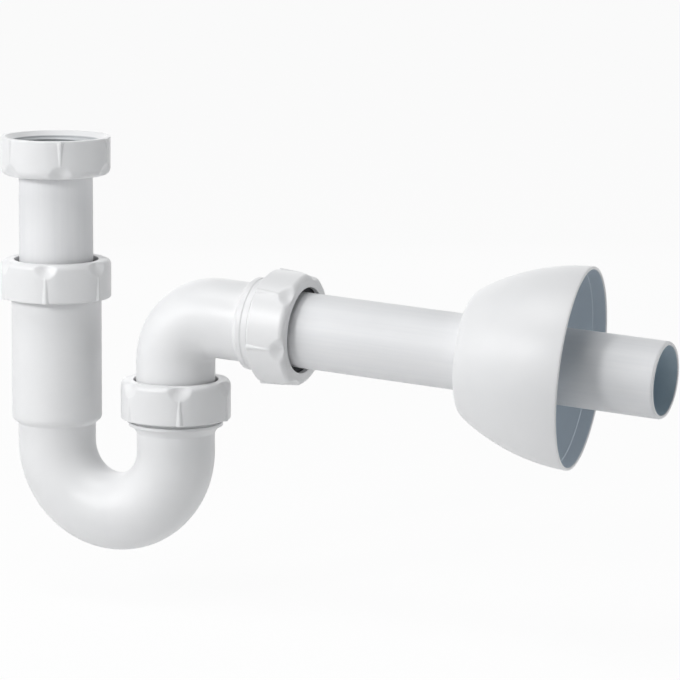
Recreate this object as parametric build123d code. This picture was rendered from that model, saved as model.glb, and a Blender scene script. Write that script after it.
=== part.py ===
from build123d import *
import math
import os

# Shared frame, mm: origin on the inlet axis at the sealing face inside the inlet nut,
# Z up the inlet axis, X towards the wall outlet.

# Pipes
PIPE_R = 20.0            # tail pipe and outlet pipe, outside
PIPE_WALL = 2.0
PIPE_END_CHAMFER = 1.2
PIPE_FIT = 0.5           # radial clearance of a pipe in its socket
TAIL_LENGTH = 103.5
OUTLET_LENGTH = 228.5
OUTLET_STOP_GAP = 2.5    # left between the outlet pipe and its socket's floor
DEPTH_MARK_FROM_END = 62.0
DEPTH_MARK_W = 0.8
DEPTH_MARK_D = 0.25
PIPE_BORE_R = PIPE_R - PIPE_WALL
PIPE_SOCKET_R = PIPE_R + PIPE_FIT

# Elbow tube
ELBOW_R = 21.25
ELBOW_WALL = 2.35
ELBOW_FIT = 0.35         # radial clearance of the elbow's spigot in the bend
ELBOW_BEND_R = 24.4
ELBOW_SOCKET_R = ELBOW_R + ELBOW_FIT

# Threaded sockets, alike on the riser, the bend and the elbow
PIPE_SOCKET_WALL = 3.4
ELBOW_SOCKET_WALL = 2.3
MOUTH_RIM = 0.9
SEAT_DEPTH = 4.0         # conical seat for the seal
THREAD_ROOT_R = max(PIPE_SOCKET_R + PIPE_SOCKET_WALL, ELBOW_SOCKET_R + ELBOW_SOCKET_WALL)
SEAT_R = THREAD_ROOT_R - MOUTH_RIM

# Outside of all four nuts
NUT_H = 20.8
NUT_WALL = 4.05
NUT_BULGE = 0.45         # lobes beyond the middle of the sides
NUT_SHOULDER = 4.5
NUT_RIM_ROUND = 0.7      # outer edge of the open end
NUT_HOLE_ROUND = 0.5     # outer edge of the end hole
NUT_SIDES = 6
NUT_SIDE_POINTS = 6      # curve points along each side
THREAD_SPACE = 1.6       # thread depth and play between nut and socket
RIB_FOOT_R = 1.8         # at the open end, tapering towards the shoulder
RIB_TIP_R = 0.9
RIB_PROUD = 1.1          # at the open end
SCOOP_R = 9.5
SCOOP_OUT = 6.2
SCOOP_ABOVE = 0.5
SCOOP_ROUND = 0.8
NUT_BORE_R = THREAD_ROOT_R + THREAD_SPACE
NUT_FLAT_R = NUT_BORE_R + NUT_WALL
NUT_CORNER_R = NUT_FLAT_R + NUT_BULGE
SCOOP_FOOT = math.sqrt(SCOOP_R**2 - SCOOP_OUT**2) - SCOOP_ABOVE   # below the closed end

# Compression joints, measured from the socket mouth outwards along the axis
NUT_FACE = 7.0           # closed end of the nut beyond the mouth
NUT_END_WALL = 2.8
NUT_HOLE_FIT = 1.55
NUT_LEAD = 1.0
SEAL_PLAY = 0.9          # radial room for the seal inside the nut
SEAL_GAP = 0.1
SEAL_TIP = 2.6           # how far the seal reaches into the mouth
SEAL_GRIP = 0.15         # radial clearance of a seal on its pipe
NUT_HOLE_R = max(PIPE_R, ELBOW_R) + NUT_HOLE_FIT
SEAL_R = NUT_BORE_R - SEAL_PLAY
NUT_OPEN = NUT_FACE - NUT_H

# U-bend moulding: riser sleeve, half-circle bend and the socket for the elbow
BEND_Z = -154.5          # centre height of the half circle
BEND_CENTRES = 72.5      # inlet axis to bend outlet axis
BEND_TUBE_R = 21.1
BEND_WALL = 2.4
SLEEVE_STEP = 0.5        # sleeve beyond the thread root
SLEEVE_FOOT = 10.0       # foot of the sleeve above the half circle
SLEEVE_FLOOR = 4.0       # floor of the sleeve above its foot
SLEEVE_ROUND = 4.6
RISER_MOUTH = 92.8       # mouths above the half circle
BEND_MOUTH = 32.3
BEND_SOCKET_DEPTH = 17.3
BEND_COLLAR_GAP = 2.2    # collar below the nut
BEND_COLLAR_H = 2.0
BEND_COLLAR_OUT = 1.5
BEND_STEP_IN = 0.4        # top of the cone inside the thread root
BEND_CONE_H = 3.9
SPIGOT_GAP = 1.0         # elbow's spigot above the socket floor
BEND_BORE_R = BEND_TUBE_R - BEND_WALL
SLEEVE_R = THREAD_ROOT_R + SLEEVE_STEP
RISER_MOUTH_Z = BEND_Z + RISER_MOUTH
BEND_MOUTH_Z = BEND_Z + BEND_MOUTH
BEND_FLOOR_Z = BEND_MOUTH_Z - BEND_SOCKET_DEPTH
BEND_COLLAR_R = THREAD_ROOT_R + BEND_COLLAR_OUT
BEND_COLLAR_ROUND = 0.4 * BEND_COLLAR_H
BEND_CONE_R = THREAD_ROOT_R - BEND_STEP_IN

# Outlet elbow; its outlet axis crosses the bend's outlet axis and falls towards the wall
ELBOW_RISE = 75.35       # crossing above the half circle
OUTLET_FALL = 3.22       # degrees
ELBOW_MOUTH_L = 70.0     # along the outlet axis from the crossing
ELBOW_SOCKET_DEPTH = 22.5
ELBOW_COLLAR_GAP = 0.8
ELBOW_COLLAR_H = 8.4
ELBOW_COLLAR_OUT = 0.8
ELBOW_RIDGE_W = 2.6      # raised edge of the collar
ELBOW_BAND_OUT = 0.45    # rest of the collar
ELBOW_GROOVE_W = 0.7
ELBOW_GROOVE_AT = 1.5    # from the collar's end at the nut
ELBOW_CONE_H = 2.6
ELBOW_BORE_R = ELBOW_R - ELBOW_WALL
ELBOW_COLLAR_R = THREAD_ROOT_R + ELBOW_COLLAR_OUT
ELBOW_COLLAR_ROUND = 0.3 * ELBOW_RIDGE_W
ELBOW_BAND_R = THREAD_ROOT_R + ELBOW_BAND_OUT
PIPE_START_L = ELBOW_MOUTH_L - ELBOW_SOCKET_DEPTH + OUTLET_STOP_GAP

# Inlet union nut, open end up; the tail pipe's flange and washer sit on its end wall
INLET_NUT_TOP = 12.0     # above the sealing face
INLET_THREAD_R = 23.95
INLET_THREAD_H = 9.5
INLET_RIM = 2.35
INLET_RELIEF = 0.65
INLET_HOLE_FIT = 0.6
INLET_GAP = 0.15
WASHER_H = 3.0
WASHER_INSET = 0.2
FLANGE_H = 3.0
FLANGE_LEDGE = 2.2       # flange beyond the pipe
INLET_DISH_R = NUT_FLAT_R - INLET_RIM
FLANGE_R = PIPE_R + FLANGE_LEDGE
INLET_RECESS_R = max(INLET_THREAD_R, FLANGE_R) + INLET_RELIEF
INLET_HOLE_R = PIPE_R + INLET_HOLE_FIT

# Where each nut's ribs stand, degrees about its own axis
INLET_NUT_TURN = -56.6
RISER_NUT_TURN = -72.8
BEND_NUT_TURN = -59.4
ELBOW_NUT_TURN = 14.1

# Wall flange: a thin bell hung loosely on the outlet pipe
BELL_FROM_END = 108.9    # back of the bell from the pipe's free end
BELL_DEPTH = 61.0
BELL_MOUTH_R = 53.0
BELL_SIDE_R = 108.0      # radius of the bulged side in section
BELL_SIDE_TILT = 1.86    # degrees, side at the mouth
BELL_SHOULDER_R = 8.6
BELL_WALL = 2.0
BELL_HOLE_FIT = 0.8
BELL_LIP_DEPTH = 7.5     # thinner band inside the mouth
BELL_LIP_WALL = 1.6
BELL_LIP_ROUND = 0.35 * BELL_LIP_WALL
BELL_HOLE_ROUND = 0.5
BELL_LEAN = 7.5          # degrees, sideways lean on the pipe
BELL_DROOP = 1.5

fall = math.radians(OUTLET_FALL)
outlet_dir = Vector(math.cos(fall), 0, -math.sin(fall))
elbow_point = Vector(BEND_CENTRES, 0, BEND_Z + ELBOW_RISE)


def at_outlet(distance, turn=0.0):
    """Place across the outlet axis, its X level and facing the front, turned about the axis."""
    plane = Plane(elbow_point + outlet_dir * distance, x_dir=(0, -1, 0), z_dir=outlet_dir)
    return plane.location * Rot(0, 0, turn)


def at_riser(turn=0.0):
    """Joint coordinates of the riser sleeve's mouth."""
    return Pos(0, 0, RISER_MOUTH_Z) * Rot(0, 0, turn)


def at_bend(turn=0.0):
    """Joint coordinates of the bend's outlet mouth."""
    return Pos(BEND_CENTRES, 0, BEND_MOUTH_Z) * Rot(0, 0, turn)


def turned(*corners):
    """Solid of revolution about Z from its (radius, height) corners."""
    return revolve(make_face(Plane.XZ * Polyline(*corners, close=True)), Axis.Z)


def ring(shape, radius, height):
    """Round edges of a turned shape at one radius and height."""
    return shape.edges().filter_by(GeomType.CIRCLE).filter_by(
        lambda edge: math.isclose(edge.radius, radius, abs_tol=1e-4)
        and math.isclose(edge.arc_center.Z, height, abs_tol=1e-4)
    )


def tube_along(path, radius):
    """Round bar swept along a path."""
    return sweep(Plane(path @ 0, z_dir=path % 0) * Circle(radius), path)


def nut_blank():
    """Outside of a nut: closed end at Z 0, six faint lobes, rounded shoulder, ribs and scoops."""
    step = 360 / NUT_SIDES
    outline = []
    for point in range(NUT_SIDES * NUT_SIDE_POINTS):
        angle = point * step / NUT_SIDE_POINTS
        swell = (1 + math.cos(math.radians(NUT_SIDES * angle))) / 2
        outline.append(Vector(NUT_FLAT_R + NUT_BULGE * swell, 0).rotate(Axis.Z, angle))
    body = extrude(make_face(Spline(outline, periodic=True)), -NUT_H)
    body = fillet(body.faces().sort_by(Axis.Z)[-1].edges(), NUT_SHOULDER)
    body = fillet(body.faces().sort_by(Axis.Z)[0].edges(), NUT_RIM_ROUND)
    rib_h = NUT_H - SCOOP_FOOT
    rib = Cone(RIB_FOOT_R, RIB_TIP_R, rib_h)
    rib = fillet(rib.edges().group_by(Axis.Z)[0], NUT_RIM_ROUND)
    rib = Pos(NUT_CORNER_R + RIB_PROUD - RIB_FOOT_R, 0, rib_h / 2 - NUT_H) * rib
    scoop = Pos(NUT_CORNER_R + SCOOP_OUT, 0, SCOOP_ABOVE) * Sphere(SCOOP_R)
    for side in range(NUT_SIDES):
        body -= Rot(0, 0, side * step) * scoop
    body = fillet(body.faces().filter_by(GeomType.SPHERE).edges(), SCOOP_ROUND)
    for side in range(NUT_SIDES):
        body += Rot(0, 0, side * step) * rib
    return body


def compression_nut():
    """Nut of a compression joint in joint coordinates: mouth at Z 0, pipe leaving upwards."""
    inner = NUT_FACE - NUT_END_WALL
    cavity = turned(
        (0, NUT_OPEN - 1),
        (NUT_BORE_R + NUT_LEAD + 1, NUT_OPEN - 1),
        (NUT_BORE_R, NUT_OPEN + NUT_LEAD),
        (NUT_BORE_R, inner),
        (NUT_HOLE_R, inner),
        (NUT_HOLE_R, NUT_FACE + 1),
        (0, NUT_FACE + 1),
    )
    body = Pos(0, 0, NUT_FACE) * nut_blank() - cavity
    return fillet(ring(body, NUT_HOLE_R, NUT_FACE), NUT_HOLE_ROUND)


def cone_seal(pipe_r, socket_r):
    """Tapered seal between a socket's conical seat and the nut's end wall, on a pipe."""
    bore = pipe_r + SEAL_GRIP
    back = NUT_FACE - NUT_END_WALL - SEAL_GAP
    slope = (SEAT_R - socket_r) / SEAT_DEPTH
    tip_r = SEAT_R - slope * SEAL_TIP - SEAL_GAP
    return turned(
        (bore, -SEAL_TIP),
        (tip_r, -SEAL_TIP),
        (SEAT_R - SEAL_GAP, 0),
        (SEAT_R - SEAL_GAP, SEAL_GAP),
        (SEAL_R, SEAL_GAP),
        (SEAL_R, back),
        (bore, back),
    )


def socket_cavity(socket_r, depth):
    """Inside of a socket in joint coordinates: straight bore and conical seat."""
    return turned(
        (0, -depth),
        (socket_r, -depth),
        (socket_r, -SEAT_DEPTH),
        (SEAT_R, 0),
        (SEAT_R, 1),
        (0, 1),
    )


def make_inlet_nut():
    """Union nut, open end up: dished mouth, thread, recess for flange and washer, end hole."""
    bottom = INLET_NUT_TOP - NUT_H
    ledge = -WASHER_H - FLANGE_H - INLET_GAP
    blank = Pos(0, 0, bottom) * Rot(180, 0, 0) * nut_blank()
    cavity = turned(
        (0, bottom - 1),
        (INLET_HOLE_R, bottom - 1),
        (INLET_HOLE_R, ledge),
        (INLET_RECESS_R, ledge),
        (INLET_RECESS_R, -INLET_GAP),
        (INLET_THREAD_R, 0),
        (INLET_THREAD_R, INLET_THREAD_H),
        (INLET_DISH_R, INLET_NUT_TOP),
        (INLET_DISH_R, INLET_NUT_TOP + 1),
        (0, INLET_NUT_TOP + 1),
    )
    body = blank - cavity
    return Rot(0, 0, INLET_NUT_TURN) * fillet(ring(body, INLET_HOLE_R, bottom), NUT_HOLE_ROUND)


def make_inlet_washer():
    """Flat sealing washer on the tail pipe's flange."""
    bore = PIPE_BORE_R + WASHER_INSET
    return turned((bore, -WASHER_H), (FLANGE_R, -WASHER_H), (FLANGE_R, 0), (bore, 0))


def make_inlet_tailpipe():
    """Flanged tail pipe that telescopes in the riser sleeve."""
    top = -WASHER_H
    low = top - TAIL_LENGTH
    return turned(
        (PIPE_BORE_R, low),
        (PIPE_R - PIPE_END_CHAMFER, low),
        (PIPE_R, low + 2 * PIPE_END_CHAMFER),
        (PIPE_R, top - FLANGE_H),
        (FLANGE_R, top - FLANGE_H),
        (FLANGE_R, top),
        (PIPE_BORE_R, top),
    )


def make_trap_bend():
    """One moulding: riser sleeve, U-bend and the socket that takes the elbow."""
    foot_z = BEND_Z + SLEEVE_FOOT
    floor_z = foot_z + SLEEVE_FLOOR
    collar_z = BEND_MOUTH_Z + NUT_OPEN - BEND_COLLAR_GAP
    collar_low = collar_z - BEND_COLLAR_H
    cone_z = collar_low - BEND_CONE_H
    radius = BEND_CENTRES / 2
    down = Line((0, 0, foot_z), (0, 0, BEND_Z))
    half = ThreePointArc((0, 0, BEND_Z), (radius, 0, BEND_Z - radius), (BEND_CENTRES, 0, BEND_Z))
    up = Line((BEND_CENTRES, 0, BEND_Z), (BEND_CENTRES, 0, cone_z))
    path = Wire([down.edge(), half.edge(), up.edge()])
    sleeve = turned(
        (0, foot_z),
        (SLEEVE_R, foot_z),
        (SLEEVE_R, RISER_MOUTH_Z + NUT_OPEN),
        (THREAD_ROOT_R, RISER_MOUTH_Z + NUT_OPEN + SLEEVE_STEP),
        (THREAD_ROOT_R, RISER_MOUTH_Z),
        (0, RISER_MOUTH_Z),
    )
    sleeve = fillet(sleeve.faces().sort_by(Axis.Z)[0].edges(), SLEEVE_ROUND)
    socket = turned(
        (0, cone_z),
        (BEND_TUBE_R, cone_z),
        (BEND_CONE_R, collar_low),
        (BEND_COLLAR_R, collar_low),
        (BEND_COLLAR_R, collar_z),
        (THREAD_ROOT_R, collar_z),
        (THREAD_ROOT_R, BEND_MOUTH_Z),
        (0, BEND_MOUTH_Z),
    )
    rims = ring(socket, BEND_COLLAR_R, collar_low) + ring(socket, BEND_COLLAR_R, collar_z)
    socket = Pos(BEND_CENTRES, 0, 0) * fillet(rims, BEND_COLLAR_ROUND)
    waterway = tube_along(path, BEND_BORE_R)
    waterway += Pos(0, 0, (foot_z + floor_z) / 2) * Cylinder(BEND_BORE_R, floor_z - foot_z)
    waterway += Pos(BEND_CENTRES, 0, (cone_z + BEND_FLOOR_Z) / 2) * Cylinder(
        BEND_BORE_R, abs(BEND_FLOOR_Z - cone_z)
    )
    body = tube_along(path, BEND_TUBE_R) + sleeve + socket - waterway
    body -= at_riser() * socket_cavity(PIPE_SOCKET_R, RISER_MOUTH_Z - floor_z)
    body -= at_bend() * socket_cavity(ELBOW_SOCKET_R, BEND_SOCKET_DEPTH)
    return body


def make_outlet_elbow():
    """Swivel elbow: plain spigot down into the bend, socket along the falling outlet axis."""
    reach = ELBOW_BEND_R * math.tan(math.radians(90 + OUTLET_FALL) / 2)
    bend_start = elbow_point - Vector(0, 0, reach)
    bend_end = elbow_point + outlet_dir * reach
    centre = bend_start + Vector(ELBOW_BEND_R, 0, 0)
    middle = centre + (elbow_point - centre).normalized() * ELBOW_BEND_R
    collar_end = NUT_OPEN - ELBOW_COLLAR_GAP
    collar = collar_end - ELBOW_COLLAR_H
    cone = collar - ELBOW_CONE_H
    ridge = collar + ELBOW_RIDGE_W
    groove = collar_end - ELBOW_GROOVE_AT
    rise = Line((BEND_CENTRES, 0, BEND_FLOOR_Z + SPIGOT_GAP), bend_start)
    turn = ThreePointArc(bend_start, middle, bend_end)
    run = Line(bend_end, elbow_point + outlet_dir * (ELBOW_MOUTH_L + cone))
    path = Wire([rise.edge(), turn.edge(), run.edge()])
    mouth = at_outlet(ELBOW_MOUTH_L)
    socket = turned(
        (0, cone),
        (ELBOW_R, cone),
        (ELBOW_COLLAR_R, collar),
        (ELBOW_COLLAR_R, ridge),
        (ELBOW_BAND_R, ridge + ELBOW_GROOVE_W),
        (ELBOW_BAND_R, groove - ELBOW_GROOVE_W),
        (THREAD_ROOT_R, groove - ELBOW_GROOVE_W / 2),
        (ELBOW_BAND_R, groove),
        (ELBOW_BAND_R, collar_end),
        (THREAD_ROOT_R, collar_end),
        (THREAD_ROOT_R, 0),
        (0, 0),
    )
    rims = ring(socket, ELBOW_COLLAR_R, collar) + ring(socket, ELBOW_COLLAR_R, ridge)
    socket = mouth * fillet(rims, ELBOW_COLLAR_ROUND)
    lead = at_outlet(ELBOW_MOUTH_L + (cone - ELBOW_SOCKET_DEPTH) / 2)
    body = tube_along(path, ELBOW_R) + socket
    body -= tube_along(path, ELBOW_BORE_R)
    body -= lead * Cylinder(ELBOW_BORE_R, abs(cone + ELBOW_SOCKET_DEPTH))
    body -= mouth * socket_cavity(PIPE_SOCKET_R, ELBOW_SOCKET_DEPTH)
    return body


def make_outlet_pipe():
    """Straight outlet pipe with a chamfered free end and an insertion-depth mark."""
    mark = OUTLET_LENGTH - DEPTH_MARK_FROM_END
    pipe = turned(
        (PIPE_BORE_R, 0),
        (PIPE_R - PIPE_END_CHAMFER, 0),
        (PIPE_R, 2 * PIPE_END_CHAMFER),
        (PIPE_R, mark - DEPTH_MARK_W),
        (PIPE_R - DEPTH_MARK_D, mark - DEPTH_MARK_W / 2),
        (PIPE_R, mark),
        (PIPE_R, OUTLET_LENGTH - PIPE_END_CHAMFER),
        (PIPE_R - PIPE_END_CHAMFER / 2, OUTLET_LENGTH),
        (PIPE_BORE_R, OUTLET_LENGTH),
    )
    return at_outlet(PIPE_START_L) * pipe


def bell_section(wall, depth):
    """Section of the bell as a filled shape, shrunk by a wall: two tangent arcs and the end face."""
    tilt = math.radians(BELL_SIDE_TILT)
    side = Vector(BELL_MOUTH_R - BELL_SIDE_R * math.cos(tilt), BELL_DEPTH + BELL_SIDE_R * math.sin(tilt))
    apart = BELL_SIDE_R - BELL_SHOULDER_R
    rise = side.Y - BELL_SHOULDER_R
    shoulder = Vector(side.X + math.sqrt(apart**2 - rise**2), BELL_SHOULDER_R)
    join = (shoulder - side).normalized()
    side_r = BELL_SIDE_R - wall
    round_r = BELL_SHOULDER_R - wall
    mouth = Vector(side.X + math.sqrt(side_r**2 - (side.Y - depth) ** 2), depth)
    touch = shoulder + join * round_r
    half = ((mouth - side).normalized() + join).normalized()
    quarter = (join + Vector(0, -1)).normalized()
    outline = [
        Line((0, wall), (shoulder.X, wall)),
        ThreePointArc((shoulder.X, wall), shoulder + quarter * round_r, touch),
        ThreePointArc(touch, side + half * side_r, mouth),
        Line(mouth, (0, depth)),
        Line((0, depth), (0, wall)),
    ]
    return revolve(make_face([Plane.XZ * edge for edge in outline]), Axis.Z)


def make_wall_flange():
    """Bell-shaped wall flange, leaning on the outlet pipe, mouth towards the wall."""
    bell = bell_section(0, BELL_DEPTH) - bell_section(BELL_WALL, BELL_DEPTH)
    bell -= Cylinder(PIPE_R + BELL_HOLE_FIT, 4 * BELL_WALL)
    lip = bell_section(BELL_LIP_WALL, BELL_DEPTH)
    lip &= Pos(0, 0, BELL_DEPTH - BELL_LIP_DEPTH / 2) * Cylinder(2 * BELL_MOUTH_R, BELL_LIP_DEPTH)
    bell -= lip
    bell = fillet(bell.faces().sort_by(Axis.Z)[-1].edges(), BELL_LIP_ROUND)
    bell = fillet(ring(bell, PIPE_R + BELL_HOLE_FIT, 0), BELL_HOLE_ROUND)
    back = PIPE_START_L + OUTLET_LENGTH - BELL_FROM_END
    return at_outlet(back) * Rot(-BELL_DROOP, 0, 0) * Rot(0, -BELL_LEAN, 0) * bell


nut = compression_nut()
pieces = {
    "inlet_nut": make_inlet_nut(),
    "inlet_washer": make_inlet_washer(),
    "inlet_tailpipe": make_inlet_tailpipe(),
    "trap_bend": make_trap_bend(),
    "riser_seal": at_riser() * cone_seal(PIPE_R, PIPE_SOCKET_R),
    "riser_nut": at_riser(RISER_NUT_TURN) * nut,
    "bend_seal": at_bend() * cone_seal(ELBOW_R, ELBOW_SOCKET_R),
    "bend_nut": at_bend(BEND_NUT_TURN) * nut,
    "outlet_elbow": make_outlet_elbow(),
    "elbow_seal": at_outlet(ELBOW_MOUTH_L) * cone_seal(PIPE_R, PIPE_SOCKET_R),
    "elbow_nut": at_outlet(ELBOW_MOUTH_L, ELBOW_NUT_TURN) * nut,
    "outlet_pipe": make_outlet_pipe(),
    "wall_flange": make_wall_flange(),
}

os.makedirs("parts", exist_ok=True)
for node, shape in pieces.items():
    export_step(shape, f"parts/{node}.step")
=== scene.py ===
"""Visual model of a white tubular trap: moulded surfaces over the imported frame, studio, camera."""
import logging
import math
from dataclasses import dataclass, replace
from enum import Enum
from typing import Protocol, Sequence

import bpy
import numpy as np
from bpy.types import Material, Node, NodeSocket, NodeTree, Object, World
from mathutils import Matrix, Vector
from numpy.typing import NDArray


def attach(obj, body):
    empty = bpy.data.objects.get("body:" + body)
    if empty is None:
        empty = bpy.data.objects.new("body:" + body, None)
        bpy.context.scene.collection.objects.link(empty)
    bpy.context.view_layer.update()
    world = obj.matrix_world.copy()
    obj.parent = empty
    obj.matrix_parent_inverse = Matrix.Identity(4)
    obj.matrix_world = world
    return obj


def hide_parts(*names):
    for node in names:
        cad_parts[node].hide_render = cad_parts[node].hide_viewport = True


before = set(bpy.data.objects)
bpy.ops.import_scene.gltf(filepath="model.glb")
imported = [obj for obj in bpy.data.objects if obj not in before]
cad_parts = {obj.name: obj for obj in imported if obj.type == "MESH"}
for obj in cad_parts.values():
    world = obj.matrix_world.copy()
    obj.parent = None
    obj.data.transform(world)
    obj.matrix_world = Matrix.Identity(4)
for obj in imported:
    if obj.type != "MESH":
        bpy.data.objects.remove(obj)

Sockets = bpy.types.bpy_prop_collection
Array = NDArray[np.float64]
Colour = tuple[float, float, float]
Triple = tuple[float, float, float]

MM = 0.001
TAU = 2.0 * math.pi
UP = (0.0, 0.0, 1.0)
EAST = (1.0, 0.0, 0.0)
FRONT = (0.0, -1.0, 0.0)
LOG = logging.getLogger("trap")


# Sizes and places


@dataclass(frozen=True)
class Layout:
    """Main sizes of the trap in millimetres, in the shared frame of the solids."""

    pipe_r: float = 20.0
    pipe_bore: float = 18.0
    bevel: float = 2.4
    bevel_r: float = 18.8
    riser_mouth_z: float = -61.7
    bend_z: float = -154.5
    bend_centres: float = 72.5
    bend_mouth_z: float = -122.2
    elbow_z: float = -79.15
    elbow_bend_r: float = 24.4
    elbow_mouth: float = 70.0
    outlet_fall: float = 3.22
    spigot: float = 16.3
    spigot_r: float = 21.25
    pipe_socket: float = 20.5
    bend_bore: float = 21.6
    seat_r: float = 23.0
    seat_depth: float = 4.0
    thread_root: float = 23.9
    thread_lead: float = 0.5
    ridge: float = 1.05
    nut_bore: float = 25.5
    nut_flat: float = 29.55
    nut_corner: float = 30.0
    nut_height: float = 20.8
    nut_face: float = 7.0
    pitch: float = 3.0
    inlet_pitch: float = 2.309
    bell_back: float = 169.6
    bell_lean: float = 7.5
    bell_droop: float = 1.5
    floor_z: float = -240.5

    @property
    def outlet_axis(self) -> Array:
        """Unit direction of the falling outlet."""
        fall = math.radians(self.outlet_fall)
        return np.array([math.cos(fall), 0.0, -math.sin(fall)])

    def on_outlet(self, distance: float) -> Array:
        """Point on the outlet axis, at a distance from the crossing of the elbow's two axes."""
        return np.array([self.bend_centres, 0.0, self.elbow_z]) + distance * self.outlet_axis


TRAP = Layout()


# Guides: where a section is carried


class Guide(Protocol):
    """Anything that gives a place and two cross directions for distances along it."""

    def frames(self, s: Array) -> tuple[Array, Array, Array]:
        """Centres, first and second cross directions at distances s."""


@dataclass(frozen=True)
class Spindle:
    """Straight guide: turning a section about it gives a lathe shape."""

    origin: Triple
    direction: Triple
    side: Triple

    def frames(self, s: Array) -> tuple[Array, Array, Array]:
        """Places along the line.

        Args:
            s: Distances from the origin, n values.

        Returns:
            Centres, first and second cross directions, each n by 3.
        """
        axis = np.asarray(self.direction, float)
        axis = axis / np.linalg.norm(axis)
        side = np.asarray(self.side, float)
        side = side - axis * (side @ axis)
        side = side / np.linalg.norm(side)
        centre = np.asarray(self.origin, float) + s[:, None] * axis
        ones = np.ones((len(s), 1))
        return centre, ones * side, ones * np.cross(axis, side)


@dataclass(frozen=True)
class Leg:
    """One leg of a route: straight if its turn is zero, else an arc."""

    length: float
    turn: float = 0.0

    @classmethod
    def arc(cls, radius: float, turn: float) -> "Leg":
        """Leg on an arc: radius times the turn, in degrees and positive from +X towards +Z."""
        return cls(radius * math.radians(abs(turn)), turn)


@dataclass(frozen=True)
class Route:
    """Guide in the plane of the bend, made of straight legs and arcs that join smoothly."""

    start: tuple[float, float]
    heading: float
    legs: tuple[Leg, ...]

    @property
    def length(self) -> float:
        """Length of the route, the sum of its legs."""
        return sum(leg.length for leg in self.legs)

    def frames(self, s: Array) -> tuple[Array, Array, Array]:
        """Places along the route.

        Each leg adds its own displacement: u along the heading when straight, and
        (sin(h + ku) - sin h, cos h - cos(h + ku)) / k for curvature k.

        Args:
            s: Distances along the route, n values.

        Returns:
            Centres, first cross direction in the plane and second towards -Y, each n by 3.
        """
        angle = np.full(s.shape, math.radians(self.heading))
        x = np.full(s.shape, self.start[0])
        z = np.full(s.shape, self.start[1])
        done, heading = 0.0, math.radians(self.heading)
        for leg in self.legs:
            u = np.clip(s - done, 0.0, leg.length)
            k = math.radians(leg.turn) / leg.length
            if k:
                x = x + (np.sin(heading + k * u) - math.sin(heading)) / k
                z = z + (math.cos(heading) - np.cos(heading + k * u)) / k
            else:
                x = x + u * math.cos(heading)
                z = z + u * math.sin(heading)
            angle = angle + k * u
            heading += math.radians(leg.turn)
            done += leg.length
        zero = np.zeros_like(s)
        centre = np.stack([x, zero, z], axis=1)
        side = np.stack([-np.sin(angle), zero, np.cos(angle)], axis=1)
        return centre, side, np.stack([zero, zero - 1.0, zero], axis=1)


# Sections: what is carried


# Corner of a wall's section: distance along the guide, radius, rounding, step of the run after it
Corner = tuple[float, float, float, float]


@dataclass(frozen=True)
class Section:
    """Closed outline of a wall: distances, radii and the run that each point lies on."""

    s: Array
    r: Array
    run: Array

    MOST_ROOM = 0.45
    ARC_STEP = 11.0
    EDGE_HOLD = 0.3
    TINY = 1e-9

    @classmethod
    def rounded(cls, corners: Sequence[Corner]) -> "Section":
        """Outline with rounded corners and evenly cut runs.

        At a corner that turns by angle a, the arc starts rounding * tan(a / 2) before the corner;
        its points are c + (p0 - c) cos t + d sin t for t from 0 to a.

        Args:
            corners: Corners in order around the outline.

        Returns:
            The section. Arcs have run k - 0.5 at corner k, straight parts run k after it.
        """
        at, rounding, step = np.split(np.array(corners), [2, 3], axis=1)
        before = at - np.roll(at, 1, axis=0)
        length = np.linalg.norm(before, axis=1)
        into = before / length[:, None]
        out = np.roll(into, -1, axis=0)
        room = np.minimum(length, np.roll(length, -1))
        cross = into[:, 0] * out[:, 1] - into[:, 1] * out[:, 0]
        turn = np.arctan2(cross, np.sum(into * out, axis=1))
        half = np.tan(np.abs(turn) / 2.0)
        back = np.minimum(rounding[:, 0] * half, cls.MOST_ROOM * room)
        radius = back / np.maximum(half, cls.TINY)
        arcs = []
        for k in range(len(corners)):
            count = max(3, int(math.degrees(abs(turn[k])) / cls.ARC_STEP) + 2)
            t = np.linspace(0.0, abs(turn[k]), count)[:, None]
            first = at[k] - into[k] * back[k]
            inner = np.array([-into[k, 1], into[k, 0]]) * math.copysign(1.0, turn[k]) * radius[k]
            arcs.append(first + inner - inner * np.cos(t) + into[k] * radius[k] * np.sin(t))
        points, runs = [], []
        for k in range(len(corners)):
            start, end = arcs[k][-1], arcs[(k + 1) % len(corners)][0]
            run = float(np.linalg.norm(end - start))
            hold = min(cls.EDGE_HOLD, run / 3.0)
            cuts = max(1, math.ceil((run - 2.0 * hold) / step[k, 0]))
            part = np.linspace(hold, run - hold, cuts + 1)[:, None] / max(run, cls.TINY)
            points += [arcs[k], start + part * (end - start)]
            runs += [np.full(len(arcs[k]), k - 0.5), np.full(len(part), float(k))]
        outline = np.vstack(points)
        return cls(outline[:, 0], outline[:, 1], np.concatenate(runs))


def on_runs(section: Section, first: float, last: float = math.inf) -> Array:
    """1 on the runs of a section from first up to but not at last, and 0 on the others."""
    return ((section.run >= first) & (section.run < last)).astype(float)


class Relief(Protocol):
    """Anything that raises or lowers a carried surface."""

    def lift(self, section: Section, phi: Array) -> Array:
        """Radial change for every point of the grid, n by m."""


def smooth(x: Array) -> Array:
    """Ease from 0 to 1 with flat ends: 3t^2 - 2t^3 for t clipped to 0..1."""
    t = np.clip(x, 0.0, 1.0)
    return t * t * (3.0 - 2.0 * t)


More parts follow.
